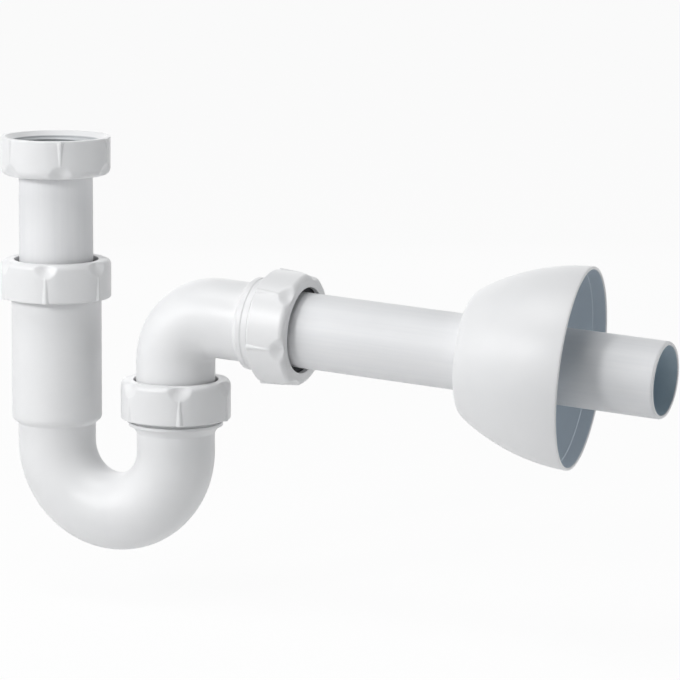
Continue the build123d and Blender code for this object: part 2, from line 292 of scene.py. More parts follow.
@dataclass(frozen=True)
class Thread:
    """Round screw thread: height * (1 + cos(2 pi w / pitch - angle)) / 2, faded at both ends.

    w is the distance outwards from the mouth, and the angle turns the same way about that way out.
    """

    run: int
    mouth: float
    start: float
    end: float
    pitch: float
    height: float
    sense: float = 1.0
    offset: float = 0.0

    def lift(self, section: Section, phi: Array) -> Array:
        """Ridge of the thread.

        Args:
            section: Section being carried.
            phi: Angles of the columns, m values.

        Returns:
            Radial change, n by m.
        """
        w = self.sense * (section.s - self.mouth)
        fade = smooth((w - self.start) / self.pitch) * smooth((self.end - w) / self.pitch)
        fade = np.where(section.run == self.run, fade, 0.0)
        angle = self.sense * phi + math.radians(self.offset)
        wave = np.cos(TAU * w[:, None] / self.pitch - angle)
        return self.height * fade[:, None] * 0.5 * (1.0 + wave)


@dataclass(frozen=True)
class PartingLine:
    """Faint ridge that a split mould leaves on both sides of a tube, in the plane of the bend."""

    runs: tuple[float, float]
    height: float = 0.05
    width: float = 0.45

    def lift(self, section: Section, phi: Array) -> Array:
        """Ridge of height * exp(-(d / width)^2) on its runs, d being the distance around."""
        ridge = np.exp(-((section.r[:, None] * np.sin(phi) / self.width) ** 2))
        return on_runs(section, *self.runs)[:, None] * (self.height * ridge)


@dataclass(frozen=True)
class GripSides:
    """Six faint lobes of a nut, each with a tapering rib that ends in a scooped thumb hollow.

    u runs from the closed end to the open end. A lobe is bulge * (1 + cos 6t) / 2 at angle t from
    its rib. A rib is the near side of a slim cone, axis + sqrt(w^2 - x^2) for half width w and
    distance x across. A hollow is the smooth minimum of the radius and a ball's near side.
    """

    closed: float
    sense: float
    turn: float
    rib_axis: float = 29.29
    rib_foot: float = 1.8
    rib_tip: float = 0.9
    rib_top: float = 6.7
    ball_r: float = 9.5
    ball_out: float = 36.5
    ball_above: float = 0.5
    soft: float = 1.8
    count: int = 6
    ease: float = 0.8
    ease_before: float = 0.6
    fade_r: float = 23.8
    fade: float = 5.3
    mouth_r: float = 27.2
    close_half: float = 7.6
    close_columns: int = 45
    wide_columns: int = 12
    beyond: float = 60.0

    def columns(self) -> Array:
        """Angles of the grid, close together near each rib.

        Returns:
            Angles in radians, the same pattern six times.
        """
        step = TAU / self.count
        reach = self.close_half / TRAP.nut_corner
        near = np.linspace(-reach, reach, self.close_columns)
        gap = step - (near[-1] - near[0])
        between = near[-1] + gap * np.arange(1, self.wide_columns) / self.wide_columns
        one = np.concatenate([near, between])
        turned = one[None, :] + step * np.arange(self.count)[:, None]
        return turned.ravel() + math.radians(self.turn)

    def lift(self, section: Section, phi: Array) -> Array:
        """Lobes, ribs and hollows.

        Args:
            section: Section being carried.
            phi: Angles of the columns, m values.

        Returns:
            Radial change, n by m.
        """
        u = (self.sense * (section.s - self.closed))[:, None]
        step = TAU / self.count
        from_rib = ((phi - math.radians(self.turn) + step / 2.0) % step - step / 2.0)[None, :]
        lobes = (TRAP.nut_corner - TRAP.nut_flat) * 0.5 * (1.0 + np.cos(self.count * from_rib))
        outer = np.where(section.run <= 1.0, smooth((section.r - self.fade_r) / self.fade), 0.0)
        face = (section.r - self.mouth_r) / (TRAP.nut_flat - self.mouth_r)
        outer = np.where(section.run == section.run.max(), np.clip(face, 0.0, 1.0), outer)[:, None]
        grown = np.clip((u - self.rib_top) / (TRAP.nut_height - self.rib_top), 0.0, 1.0)
        half = self.rib_tip + (self.rib_foot - self.rib_tip) * grown
        across = TRAP.nut_corner * np.sin(from_rib)
        rib = self.rib_axis + np.sqrt(np.maximum(half**2 - across**2, 0.0))
        start = smooth((u - self.rib_top + self.ease_before) / self.ease)
        rise = np.maximum(rib - TRAP.nut_flat - lobes, 0.0) * start
        radius = section.r[:, None] + outer * (lobes + rise)
        across = radius * np.sin(from_rib)
        depth = self.ball_r**2 - (u + self.ball_above) ** 2 - across**2
        ball = (self.ball_out - np.sqrt(np.maximum(depth, 0.0))) / np.cos(from_rib)
        ball = np.where(depth > 0.0, ball, self.beyond)
        h = np.clip(0.5 + 0.5 * (ball - radius) / self.soft, 0.0, 1.0)
        scooped = ball * (1.0 - h) + radius * h - self.soft * h * (1.0 - h)
        on = (section.run <= 1.0)[:, None]
        return np.where(on, np.minimum(scooped, radius), radius) - section.r[:, None]


# Surfaces


def around(count: int) -> Array:
    """Evenly spaced angles of one turn, in radians."""
    return TAU * np.arange(count) / count


def carry(guide: Guide, section: Section, phi: Array, reliefs: Sequence[Relief] = ()) -> Array:
    """Grid of a section carried along a guide and turned about it.

    Point (i, j) is centre(s_i) + R_ij (cos phi_j side(s_i) + sin phi_j front(s_i)),
    R_ij being the section's radius with every relief added in turn.

    Args:
        guide: Where the section goes.
        section: Outline of the wall.
        phi: Angles of the columns.
        reliefs: What raises or lowers the surface.

    Returns:
        Points in millimetres, n by m by 3.
    """
    r = np.repeat(section.r[:, None], len(phi), axis=1)
    for relief in reliefs:
        r = r + relief.lift(section, phi)
    centre, side, front = guide.frames(section.s)
    cos, sin = np.cos(phi)[None, :, None], np.sin(phi)[None, :, None]
    spoke = cos * side[:, None, :] + sin * front[:, None, :]
    return centre[:, None, :] + r[:, :, None] * spoke


def mesh_piece(name: str, grid: Array, painted_shade: Array) -> Object:
    """Closed mesh from a grid that joins itself in both directions.

    Args:
        name: Name of the object.
        grid: Points in millimetres, n by m by 3.
        painted_shade: For each row, 1 where the wall faces inwards and 0 outside.

    Returns:
        The object, smooth shaded, with a point attribute named core.
    """
    n, m = grid.shape[:2]
    index = np.arange(n * m).reshape(n, m)
    right = np.roll(index, -1, axis=1)
    around_quad = [index, right, np.roll(right, -1, axis=0), np.roll(index, -1, axis=0)]
    quads = np.stack(around_quad, axis=-1).reshape(-1, 4)
    points = grid.reshape(-1, 3) * MM
    a, b, c = (points[quads[:, k]] for k in (0, 1, 2))
    if np.einsum("ij,ij->", a, np.cross(b, c)) < 0.0:
        quads = quads[:, ::-1]
    mesh = bpy.data.meshes.new(name)
    mesh.from_pydata(points, [], quads)
    mesh.polygons.foreach_set("use_smooth", np.ones(len(quads), dtype=bool))
    # Per-point mask of the inward faces, where the materials paint shade: a cooler, darker colour
    # standing in for the shade inside the pieces.
    layer = mesh.attributes.new("painted_shade", "FLOAT", "POINT")
    layer.data.foreach_set("value", np.repeat(painted_shade, m).astype(np.float32))
    mesh.update()
    piece = bpy.data.objects.new(name, mesh)
    bpy.context.scene.collection.objects.link(piece)
    return piece


# Finishes


class Skin(Enum):
    """How the surface of a piece was made."""

    MOULDED = "moulded"
    EXTRUDED = "extruded"
    RUBBER = "rubber"


@dataclass(frozen=True)
class Finish:
    """One finish: colours, including a painted shade colour for inward faces, gloss and the size of
    its surface texture.
    """

    name: str
    slot: str
    skin: Skin
    tint: Colour
    shade: Colour
    # Painted shade: cooler, darker colour that inward faces blend to, standing in for shade inside the
    # pieces.
    inside: Colour
    gloss: tuple[float, float]
    grain: float
    bump: float
    axis_turn: float = 0.0


# Each plastic finish's inside colour is painted shade for inward faces; the rubber's is not used.
TRAP_WHITE = Finish(
    "trap_white", "trap_plastic", Skin.MOULDED,
    tint=(0.83, 0.83, 0.835), shade=(0.80, 0.803, 0.81), inside=(0.60, 0.65, 0.69),
    gloss=(0.36, 0.43), grain=300.0, bump=0.06,
)
NUT_WHITE = Finish(
    "nut_white", "nut_plastic", Skin.MOULDED,
    tint=(0.82, 0.82, 0.825), shade=(0.793, 0.795, 0.801), inside=(0.55, 0.565, 0.58),
    gloss=(0.32, 0.39), grain=340.0, bump=0.06,
)
TAIL_WHITE = Finish(
    "tail_white", "pipe_plastic", Skin.EXTRUDED,
    tint=(0.825, 0.825, 0.832), shade=(0.80, 0.803, 0.812), inside=(0.58, 0.64, 0.69),
    gloss=(0.46, 0.53), grain=60.0, bump=0.04,
)
PIPE_WHITE = replace(
    TAIL_WHITE, name="pipe_white", inside=(0.53, 0.635, 0.71), gloss=(0.47, 0.54),
    axis_turn=90.0 + TRAP.outlet_fall,
)
FLANGE_WHITE = Finish(
    "flange_white", "flange_plastic", Skin.MOULDED,
    tint=(0.83, 0.83, 0.836), shade=(0.805, 0.808, 0.815), inside=(0.585, 0.66, 0.73),
    gloss=(0.38, 0.44), grain=260.0, bump=0.05,
)
SEAL_BLACK = Finish(
    "seal_black", "seal_rubber", Skin.RUBBER,
    tint=(0.022, 0.023, 0.026), shade=(0.045, 0.046, 0.05), inside=(0.022, 0.023, 0.026),
    gloss=(0.55, 0.75), grain=900.0, bump=0.3,
)

# A mix node's inputs between its factor and its two colours, and its colour output
MIX_SKIPPED, MIX_OUT = (None,) * 5, 2
COLOUR, NUMBER, VECTOR = "NodeSocketColor", "NodeSocketFloat", "NodeSocketVector"
WHITE = (1.0, 1.0, 1.0, 1.0)
SEEN_RAYS = ("Camera", "Glossy", "Transmission")


class Graph:
    """Small helper that adds and links nodes of one tree."""

    def __init__(self, tree: NodeTree) -> None:
        """Keep the node tree to fill."""
        self.tree = tree

    @classmethod
    def fresh(cls, owner: Material | World) -> "Graph":
        """Empty graph of a new material or world.

        Args:
            owner: What the nodes belong to.

        Returns:
            The graph.
        """
        owner.use_nodes = True
        owner.node_tree.nodes.clear()
        return cls(owner.node_tree)

    def put(self, target: NodeSocket, value: object) -> None:
        """Link an input, or set its value.

        Args:
            target: Input socket.
            value: Output socket of another node, or a plain value.
        """
        if isinstance(value, NodeSocket):
            self.tree.links.new(value, target)
        else:
            target.default_value = value

    def add(self, kind: str, *inputs: object, **values: object) -> Node:
        """New node with its properties and inputs.

        Args:
            kind: Blender's node type, without the word ShaderNode before it.
            *inputs: First inputs in order, None for one that is left alone.
            **values: Properties by name, or inputs by name with spaces as underscores.

        Returns:
            The node.
        """
        node = self.tree.nodes.new("ShaderNode" + kind)
        for key, value in values.items():
            if hasattr(node, key):
                setattr(node, key, value)
            else:
                self.put(node.inputs[key.replace("_", " ")], value)
        for socket, value in zip(node.inputs, inputs):
            if value is not None:
                self.put(socket, value)
        return node

    def number(self, operation: str, *values: object) -> NodeSocket:
        """Number that one of Blender's operations gives for its operands."""
        return self.add("Math", *values, operation=operation).outputs["Value"]

    def mix(self, factor: object, a: object, b: object, blend: str = "MIX") -> NodeSocket:
        """Colour that is a at factor 0, and a blended with b at factor 1."""
        inputs = (factor, *MIX_SKIPPED, a, b)
        return self.add("Mix", *inputs, data_type="RGBA", blend_type=blend).outputs[MIX_OUT]


class MaterialLibrary:
    """Builds the shared node groups and one material for each finish."""

    IOR = 1.49
    PLASTIC_SHINE = 0.5
    RUBBER_SHINE = 0.1
    STREAK = (0.965, 0.968, 0.975, 1.0)

    def __init__(self) -> None:
        """Make the groups once."""
        self.clouds = self._clouds()
        self.grain = self._grain()
        self.draw_lines = self._draw_lines()
        self.painted_shade_tint = self._painted_shade_tint()
        self.made: dict[str, Material] = {}

    @staticmethod
    def _group(
        name: str, inputs: dict[str, str], outputs: dict[str, str]
    ) -> tuple[NodeTree, Graph, Sockets, Sockets]:
        """Empty group with an interface.

        Args:
            name: Name of the group.
            inputs: Socket types by socket name.
            outputs: The same for what it puts out.

        Returns:
            The tree, its graph, and the sockets of its entry and of its exit.
        """
        tree = bpy.data.node_groups.new(name, "ShaderNodeTree")
        for way, sockets in (("INPUT", inputs), ("OUTPUT", outputs)):
            for key, kind in sockets.items():
                tree.interface.new_socket(name=key, in_out=way, socket_type=kind)
        entry, out = tree.nodes.new("NodeGroupInput"), tree.nodes.new("NodeGroupOutput")
        return tree, Graph(tree), entry.outputs, out.inputs

    def _clouds(self) -> NodeTree:
        """Slow drift of colour and gloss through a moulding.

        Returns:
            Group that puts out a colour and a roughness.
        """
        tree, g, entry, out = self._group(
            "clouds",
            {"Place": VECTOR, "Tint": COLOUR, "Shade": COLOUR, "Low": NUMBER, "High": NUMBER},
            {"Colour": COLOUR, "Roughness": NUMBER},
        )
        place = entry["Place"]
        wide = g.add("TexNoise", Vector=place, Scale=24.0, Detail=3.0, Roughness=0.55)
        fine = g.add("TexNoise", Vector=place, Scale=60.0, Detail=2.0, Roughness=0.5)
        drift = g.add("MapRange", Value=wide.outputs["Fac"], From_Min=0.36, From_Max=0.68)
        g.put(out["Colour"], g.mix(drift.outputs["Result"], entry["Tint"], entry["Shade"]))
        gloss = g.add(
            "MapRange", Value=fine.outputs["Fac"], From_Min=0.3, From_Max=0.7,
            To_Min=entry["Low"], To_Max=entry["High"],
        )
        g.put(out["Roughness"], gloss.outputs["Result"])
        return tree

    def _grain(self) -> NodeTree:
        """Fine unevenness of a moulded or rubber skin.

        Returns:
            Group that puts out a normal.
        """
        tree, g, entry, out = self._group(
            "grain", {"Place": VECTOR, "Scale": NUMBER, "Strength": NUMBER}, {"Normal": VECTOR}
        )
        place = entry["Place"]
        wavy = g.add("TexNoise", Vector=place, Scale=70.0, Detail=2.0)
        fine = g.add("TexNoise", Vector=place, Scale=entry["Scale"], Detail=3.0)
        height = g.number("MULTIPLY_ADD", fine.outputs["Fac"], 0.25, wavy.outputs["Fac"])
        bump = g.add("Bump", Distance=0.0005, Height=height, Strength=entry["Strength"])
        g.put(out["Normal"], bump.outputs["Normal"])
        return tree

    def _draw_lines(self) -> NodeTree:
        """Faint lines that extrusion leaves along a pipe, Z of the place being the pipe's axis.

        Returns:
            Group that puts out a mask and a normal.
        """
        tree, g, entry, out = self._group(
            "draw_lines",
            {"Place": VECTOR, "Scale": NUMBER, "Strength": NUMBER},
            {"Mask": NUMBER, "Normal": VECTOR},
        )
        drawn = g.add("Mapping", Vector=entry["Place"], Scale=(8.0, 8.0, 0.12))
        lines = g.add(
            "TexNoise", Vector=drawn.outputs["Vector"], Scale=entry["Scale"],
            Detail=4.0, Roughness=0.6,
        ).outputs["Fac"]
        mask = g.add("MapRange", Value=lines, From_Min=0.35, From_Max=0.7)
        g.put(out["Mask"], mask.outputs["Result"])
        bump = g.add("Bump", Distance=0.0004, Height=lines, Strength=entry["Strength"])
        g.put(out["Normal"], bump.outputs["Normal"])
        return tree

    def _painted_shade_tint(self) -> NodeTree:
        """Painted shade: a cooler, darker colour where the wall faces inwards, standing in for the
        shade that falls inside the pieces.

        Returns:
            Group that puts out a colour.
        """
        tree, g, entry, out = self._group(
            "painted_shade_tint", {"Colour": COLOUR, "Inside": COLOUR}, {"Colour": COLOUR}
        )
        where = g.add("Attribute", attribute_name="painted_shade")
        g.put(out["Colour"], g.mix(where.outputs["Fac"], entry["Colour"], entry["Inside"]))
        return tree

    def material(self, finish: Finish) -> Material:
        """Material of a finish, made on first use.

        Args:
            finish: What to make.

        Returns:
            The material.
        """
        if finish.name in self.made:
            return self.made[finish.name]
        material = bpy.data.materials.new(finish.name)
        g = Graph.fresh(material)
        place = g.add("TexCoord").outputs["Object"]
        clouds = g.add(
            "Group", node_tree=self.clouds, Place=place, Tint=(*finish.tint, 1.0),
            Shade=(*finish.shade, 1.0), Low=finish.gloss[0], High=finish.gloss[1],
        ).outputs
        colour, texture = clouds["Colour"], self.grain
        if finish.skin is Skin.EXTRUDED:
            turn = (0.0, math.radians(-finish.axis_turn), 0.0)
            turned = g.add("Mapping", Vector=place, Rotation=turn)
            place, texture = turned.outputs["Vector"], self.draw_lines
        skin = g.add(
            "Group", node_tree=texture, Place=place, Scale=finish.grain, Strength=finish.bump,
        ).outputs
        if finish.skin is Skin.EXTRUDED:
            colour = g.mix(skin["Mask"], colour, self.STREAK, "MULTIPLY")
        shine = self.RUBBER_SHINE
        # Plastics get painted shade: inward faces blend to the finish's cooler, darker inside colour.
        if finish.skin is not Skin.RUBBER:
            shine, inside = self.PLASTIC_SHINE, (*finish.inside, 1.0)
            painted_shade = g.add("Group", node_tree=self.painted_shade_tint, Colour=colour, Inside=inside)
            colour = painted_shade.outputs["Colour"]
        shader = g.add(
            "BsdfPrincipled", IOR=self.IOR, Specular_IOR_Level=shine, Base_Color=colour,
            Roughness=clouds["Roughness"], Normal=skin["Normal"],
        )
        g.add("OutputMaterial", Surface=shader.outputs["BSDF"])
        self.made[finish.name] = material
        return material


def dress(piece: Object, body: str, node: str, finish: Finish, library: MaterialLibrary) -> None:
    """Give a piece its material and tie it to the solid that it stands for.

    Args:
        piece: The new mesh.
        body: Body that carries it.
        node: Solid that it replaces.
        finish: Its finish.
        library: Where materials come from.
    """
    piece.data.materials.append(library.material(finish))
    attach(piece, body)
    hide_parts(node)
    LOG.info("%s: %d faces, rides on %s", piece.name, len(piece.data.polygons), body)


# Sub-assemblies


@dataclass
class InletUnion:
    """Union nut, flanged tail pipe and washer at the top; heights from the washer's top."""

    library: MaterialLibrary
    turn: float = -56.6
    top: float = 12.0
    closed: float = -8.8
    hole_r: float = 20.6
    ledge: float = -6.15
    recess_r: float = 24.6
    recess_top: float = -0.15
    thread_r: float = 23.95
    thread_low: float = 0.2
    thread_top: float = 9.5
    thread_lead: float = 0.2
    ridge: float = 1.0
    mouth_r: float = 27.2
    flange_low: float = -6.0
    flange_top: float = -3.0
    flange_r: float = 22.2
    washer_bore: float = 18.2
    tail_end: float = -106.5
    spindle: Spindle = Spindle((0.0, 0.0, 0.0), UP, EAST)

    def nut(self) -> Object:
        """Nut with its open end up: dished mouth, thread, recess for the flange.

        Returns:
            The object.
        """
        section = Section.rounded([
            (self.top, TRAP.nut_flat, 0.7, 0.7), (self.closed, TRAP.nut_flat, 4.5, 0.8),
            (self.closed, self.hole_r, 0.5, 0.6), (self.ledge, self.hole_r, 0.2, 0.8),
            (self.ledge, self.recess_r, 0.3, 1.5), (self.recess_top, self.recess_r, 0.15, 0.4),
            (self.thread_low, self.thread_r, 0.1, 0.25), (self.thread_top, self.thread_r, 0.4, 0.4),
            (self.top, self.mouth_r, 0.35, 0.4),
        ])
        sides = GripSides(closed=self.closed, sense=1.0, turn=self.turn)
        low, high = self.thread_low + self.thread_lead, self.thread_top - self.thread_lead
        thread = Thread(6, 0.0, low, high, TRAP.inlet_pitch, -self.ridge)
        grid = carry(self.spindle, section, sides.columns(), (sides, thread))
        # Painted shade on the hole, recess and threads inside the nut.
        return mesh_piece("inlet_nut_skin", grid, on_runs(section, 2.0, 6.6))

    def tailpipe(self) -> Object:
        """Flanged pipe that telescopes in the riser sleeve.

        Returns:
            The object.
        """
        section = Section.rounded([
            (self.tail_end, TRAP.bevel_r, 0.2, 1.0),
            (self.tail_end + TRAP.bevel, TRAP.pipe_r, 0.6, 4.0),
            (self.flange_low, TRAP.pipe_r, 0.3, 0.8), (self.flange_low, self.flange_r, 0.4, 1.0),
            (self.flange_top, self.flange_r, 0.4, 1.0),
            (self.flange_top, TRAP.pipe_bore, 0.3, 4.0),
            (self.tail_end, TRAP.pipe_bore, 0.3, 0.5),
        ])
        grid = carry(self.spindle, section, around(160))
        # Painted shade in the bore and on the end face.
        return mesh_piece("inlet_tailpipe_skin", grid, on_runs(section, 4.6))

    def washer(self) -> Object:
        """Flat washer on the flange.

        Returns:
            The object.
        """
        section = Section.rounded([
            (self.flange_top, self.washer_bore, 0.4, 1.0),
            (self.flange_top, self.flange_r, 0.4, 1.0), (0.0, self.flange_r, 0.4, 1.0),
            (0.0, self.washer_bore, 0.4, 1.0),
        ])
        grid = carry(self.spindle, section, around(96))
        return mesh_piece("inlet_washer_skin", grid, np.zeros_like(section.s))

    def build(self) -> None:
        """Build and dress the three pieces."""
        dress(self.nut(), "inlet_nut", "inlet_nut", NUT_WHITE, self.library)
        dress(self.tailpipe(), "tail", "inlet_tailpipe", TAIL_WHITE, self.library)
        dress(self.washer(), "tail", "inlet_washer", SEAL_BLACK, self.library)


@dataclass
class TrapBend:
    """Riser sleeve, half-circle bend and threaded outlet, one moulding; lengths from its mouths."""

    library: MaterialLibrary
    sleeve_r: float = 24.4
    sleeve_thread: float = 13.2
    sleeve_floor: float = 78.8
    sleeve_end: float = 80.3
    tube_r: float = 21.04
    tube_bore: float = 18.7
    tube_start: float = 82.7
    flare: float = 21.9
    flare_r: float = 23.5
    collar: tuple[float, float] = (18.0, 16.0)
    collar_r: float = 25.4
    step: float = 0.6
    run_outs: tuple[float, float] = (0.2, 0.6)
    socket_floor: float = 17.3

    def route(self) -> Route:
        """Centre line from the riser's mouth down, around and up to the outlet's mouth.

        Returns:
            The route.
        """
        down = TRAP.riser_mouth_z - TRAP.bend_z
        up = TRAP.bend_mouth_z - TRAP.bend_z
        legs = (Leg(down), Leg.arc(TRAP.bend_centres / 2.0, 180.0), Leg(up))
        return Route((0.0, TRAP.riser_mouth_z), -90.0, legs)

    def build(self) -> None:
        """Build and dress the moulding."""
        route = self.route()
        end, root = route.length, TRAP.thread_root
        section = Section.rounded([
            (0.0, root, 0.3, 0.36), (self.sleeve_thread, root, 0.1, 0.4),
            (self.sleeve_thread + self.step, self.sleeve_r, 0.25, 3.0),
            (self.sleeve_end, self.sleeve_r, 4.4, 0.8), (self.tube_start, self.tube_r, 1.3, 1.7),
            (end - self.flare, self.tube_r, 1.6, 0.6),
            (end - self.collar[0], self.flare_r, 0.3, 0.4),
            (end - self.collar[0], self.collar_r, 0.45, 0.3),
            (end - self.collar[1], self.collar_r, 0.8, 0.4),
            (end - self.collar[1], root, 0.2, 0.36), (end, root, 0.3, 0.4),
            (end, TRAP.seat_r, 0.25, 0.8), (end - TRAP.seat_depth, TRAP.bend_bore, 0.4, 3.0),
            (end - self.socket_floor, TRAP.bend_bore, 0.4, 0.8),
            (end - self.socket_floor, self.tube_bore, 0.4, 2.6),
            (self.sleeve_floor, self.tube_bore, 0.4, 0.8),
            (self.sleeve_floor, TRAP.pipe_socket, 0.4, 4.0),
            (TRAP.seat_depth, TRAP.pipe_socket, 0.4, 0.8), (0.0, TRAP.seat_r, 0.25, 0.4),
        ])
        pitch, ridge, last = TRAP.pitch, TRAP.ridge, -TRAP.thread_lead
        reliefs = (
            Thread(0, 0.0, self.run_outs[0] - self.sleeve_thread, last, pitch, ridge, sense=-1.0),
            Thread(9, end, self.run_outs[1] - self.collar[1], last, pitch, ridge, offset=180.0),
            PartingLine((2.0, 5.5)),
        )
        grid = carry(route, section, around(168), reliefs)
        # Painted shade on the inner runs of the moulding.
        piece = mesh_piece("trap_bend_skin", grid, on_runs(section, 10.6))
        dress(piece, "trap", "trap_bend", TRAP_WHITE, self.library)


@dataclass
class OutletElbow:
    """Swivel elbow: plain spigot, bend and threaded socket; lengths from the socket's mouth."""

    library: MaterialLibrary
    tube_bore: float = 18.9
    flare: float = 25.6
    ring: tuple[float, float] = (23.0, 20.4)
    ring_r: float = 24.7
    collar: tuple[float, float] = (19.7, 14.6)
    collar_r: float = 24.35
    run_out: float = 0.4
    groove: float = 16.45
    groove_half: float = 0.35
    groove_r: float = 24.1
    socket_floor: float = 22.5

    def route(self) -> Route:
        """Centre line from the spigot's end up and around to the socket's mouth.

        Returns:
            The route.
        """
        turn = 90.0 + TRAP.outlet_fall
        reach = TRAP.elbow_bend_r * math.tan(math.radians(turn) / 2.0)
        low = TRAP.bend_mouth_z - TRAP.spigot
        rise = TRAP.elbow_z - reach - low
        legs = (Leg(rise), Leg.arc(TRAP.elbow_bend_r, -turn), Leg(TRAP.elbow_mouth - reach))
        return Route((TRAP.bend_centres, low), 90.0, legs)

    def build(self) -> None:
        """Build and dress the moulding."""
        route = self.route()
        end, root = route.length, TRAP.thread_root
        section = Section.rounded([
            (0.0, TRAP.spigot_r, 0.5, 1.4), (end - self.flare, TRAP.spigot_r, 1.0, 0.5),
            (end - self.ring[0], self.ring_r, 0.78, 0.3),
            (end - self.ring[1], self.ring_r, 0.78, 0.3),
            (end - self.collar[0], self.collar_r, 0.5, 0.6),
            (end - self.groove - self.groove_half, self.collar_r, 0.1, 0.2),
            (end - self.groove, self.groove_r, 0.1, 0.2),
            (end - self.groove + self.groove_half, self.collar_r, 0.1, 0.3),
            (end - self.collar[1], self.collar_r, 0.2, 0.4),
            (end - self.collar[1], root, 0.2, 0.36), (end, root, 0.3, 0.4),
            (end, TRAP.seat_r, 0.25, 0.8), (end - TRAP.seat_depth, TRAP.pipe_socket, 0.4, 3.0),
            (end - self.socket_floor, TRAP.pipe_socket, 0.4, 0.8),
            (end - self.socket_floor, self.tube_bore, 0.4, 2.0), (0.0, self.tube_bore, 0.4, 0.8),
        ])
        first, last = self.run_out - self.collar[1], -TRAP.thread_lead
        reliefs = (
            Thread(9, end, first, last, TRAP.pitch, TRAP.ridge, offset=-90.0),
            PartingLine((0.0, 2.5)),
        )
        grid = carry(route, section, around(168), reliefs)
        # Painted shade on the inner runs of the moulding.
        piece = mesh_piece("outlet_elbow_skin", grid, on_runs(section, 10.6))
        dress(piece, "elbow", "outlet_elbow", TRAP_WHITE, self.library)


@dataclass
class CompressionJoint:
    """Nut and cone seal at one socket's mouth."""

    library: MaterialLibrary
    name: str
    mouth: Triple
    direction: Triple
    side: Triple
    turn: float
    pipe_r: float
    socket_r: float
    hole_r: float = 22.8
    end_wall: float = 2.8
    chamfer: float = 1.0
    chamfer_r: float = 26.5
    thread_lead: float = 0.4
    thread_top: float = 3.4
    seal_r: float = 24.6
    seal_tip: float = 2.6
    seal_back: float = 4.1
    off_pipe: float = 0.15
    off_seat: float = 0.1

    def spindle(self) -> Spindle:
        """Axis of the joint, from the mouth outwards."""
        return Spindle(self.mouth, self.direction, self.side)

    def nut(self) -> Object:
        """Nut that draws the seal into the mouth.

        Returns:
            The object.
        """
        face, open_end = TRAP.nut_face, TRAP.nut_face - TRAP.nut_height
        section = Section.rounded([
            (open_end, TRAP.nut_flat, 0.7, 0.7), (face, TRAP.nut_flat, 4.5, 0.8),
            (face, self.hole_r, 0.5, 0.6), (face - self.end_wall, self.hole_r, 0.25, 0.8),
            (face - self.end_wall, TRAP.nut_bore, 0.5, 0.34),
            (open_end + self.chamfer, TRAP.nut_bore, 0.2, 0.4),
            (open_end, self.chamfer_r, 0.25, 0.6),
        ])
        sides = GripSides(closed=face, sense=-1.0, turn=self.turn)
        low = open_end + self.chamfer + self.thread_lead
        thread = Thread(4, 0.0, low, self.thread_top, TRAP.pitch, -TRAP.ridge, offset=180.0)
        grid = carry(self.spindle(), section, sides.columns(), (sides, thread))
        # Painted shade on the hole's wall and the threaded inside of the nut.
        return mesh_piece(f"{self.name}_nut_skin", grid, on_runs(section, 2.6, 5.6))

    def seal(self) -> Object:
        """Tapered rubber ring between the seat and the nut's end wall.

        Returns:
            The object.
        """
        bore, seat = self.pipe_r + self.off_pipe, TRAP.seat_r
        slope = (seat - self.socket_r) / TRAP.seat_depth
        section = Section.rounded([
            (-self.seal_tip, bore, 0.15, 0.5),
            (-self.seal_tip, seat - slope * self.seal_tip - self.off_seat, 0.2, 0.6),
            (self.off_seat / 2.0, seat - self.off_seat, 0.1, 0.5),
            (self.off_seat, self.seal_r, 0.3, 0.8), (self.seal_back, self.seal_r, 0.4, 0.8),
            (self.seal_back, bore, 0.3, 1.0),
        ])
        grid = carry(self.spindle(), section, around(120))
        return mesh_piece(f"{self.name}_seal_skin", grid, np.zeros_like(section.s))

    def build(self) -> None:
        """Build and dress both pieces."""
        dress(self.nut(), f"{self.name}_nut", f"{self.name}_nut", NUT_WHITE, self.library)
        dress(self.seal(), f"{self.name}_seal", f"{self.name}_seal", SEAL_BLACK, self.library)


@dataclass
class OutletPipe:
    """Straight pipe to the wall, with a bevelled end and a shallow depth mark."""

    library: MaterialLibrary
    start: float = 50.0
    end: float = 278.5
    end_bevel: float = 1.2
    end_bevel_r: float = 19.4
    mark: float = 216.1
    mark_half: float = 0.4
    mark_r: float = 19.75

    def build(self) -> None:
        """Build and dress the pipe."""
        spindle = Spindle(tuple(TRAP.on_outlet(0.0)), tuple(TRAP.outlet_axis), FRONT)
        section = Section.rounded([
            (self.start, TRAP.bevel_r, 0.2, 1.0),
            (self.start + TRAP.bevel, TRAP.pipe_r, 0.6, 5.0),
            (self.mark - self.mark_half, TRAP.pipe_r, 0.12, 0.3),
            (self.mark, self.mark_r, 0.12, 0.3),
            (self.mark + self.mark_half, TRAP.pipe_r, 0.12, 5.0),
            (self.end - self.end_bevel, TRAP.pipe_r, 0.8, 0.5),
            (self.end, self.end_bevel_r, 0.5, 0.5), (self.end, TRAP.pipe_bore, 0.45, 5.0),
            (self.start, TRAP.pipe_bore, 0.3, 0.5),
        ])
        grid = carry(spindle, section, around(180))
        # Painted shade in the bore and on the end face.
        piece = mesh_piece("outlet_pipe_skin", grid, on_runs(section, 7.0))
        dress(piece, "outlet_pipe", "outlet_pipe", PIPE_WHITE, self.library)


